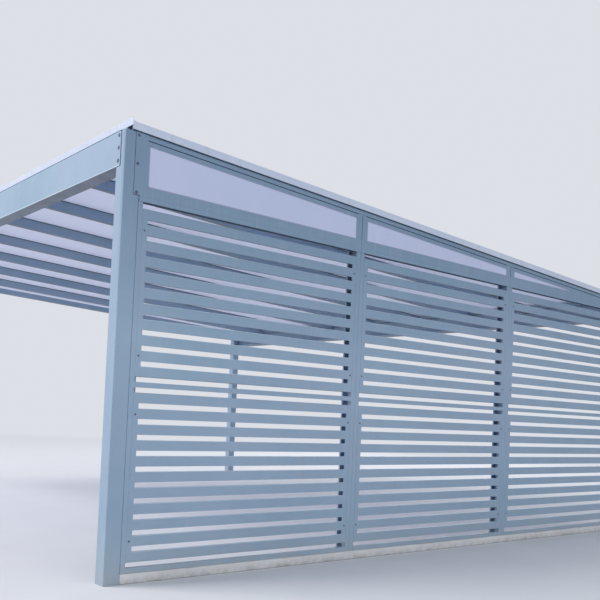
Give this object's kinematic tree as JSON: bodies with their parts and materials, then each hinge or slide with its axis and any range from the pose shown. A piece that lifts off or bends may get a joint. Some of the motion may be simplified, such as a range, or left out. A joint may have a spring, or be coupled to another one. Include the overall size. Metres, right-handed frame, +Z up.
{
  "type": "carport",
  "caption": "Steel carport with a gently falling roof, open front and left side, and a louvred right wall with white infill panels above",
  "frame": {"origin": "on the ground in the middle of the footprint", "axes": "+X towards the louvred wall, -Y towards the entrance, +Z up"},
  "size_m": [6.62, 5.528, 2.63],
  "materials": {
    "frame_paint": "satin light blue-grey powder coat",
    "trim_paint": "satin pale grey powder coat",
    "white_panel": "smooth opal white sheet with a faint cool tint",
    "roof_sheet": "opal white fluted sheet with a faint cool tint",
    "concrete": "rough pale concrete"
  },
  "bodies": {
    "root": {"front_right_post": "frame_paint", "rear_right_post": "frame_paint", "front_left_post": "frame_paint", "rear_left_post": "frame_paint", "right_mid_post_1_front_channel": "frame_paint", "right_mid_post_1_rear_channel": "frame_paint", "right_mid_post_2_front_channel": "frame_paint", "right_mid_post_2_rear_channel": "frame_paint", "left_mid_post_front_channel": "frame_paint", "left_mid_post_rear_channel": "frame_paint", "kerb": "concrete", "front_corner_strip": "frame_paint", "rear_corner_strip": "frame_paint", "lower_louvre_1": "frame_paint", "lower_louvre_2": "frame_paint", "lower_louvre_3": "frame_paint", "upper_louvre_1": "frame_paint", "upper_louvre_2": "frame_paint", "upper_louvre_3": "frame_paint", "bottom_strips": "frame_paint", "middle_strips": "frame_paint", "sloping_frame_1": "frame_paint", "sloping_frame_2": "frame_paint", "sloping_frame_3": "frame_paint", "infill_panels": "white_panel", "front_beam": "frame_paint", "rear_beam": "frame_paint", "right_side_beam": "frame_paint", "left_side_beam": "frame_paint", "rafter_1": "frame_paint", "rafter_2": "frame_paint", "rafter_3": "frame_paint", "rafter_4": "frame_paint", "rafter_5": "frame_paint", "rafter_6": "frame_paint", "rafter_7": "frame_paint", "roof_sheets": "roof_sheet", "glazing_bars": "trim_paint", "right_roof_trim": "trim_paint", "left_roof_trim": "trim_paint", "front_roof_trim": "trim_paint", "rear_roof_trim": "trim_paint"}
  },
  "joints": []
}
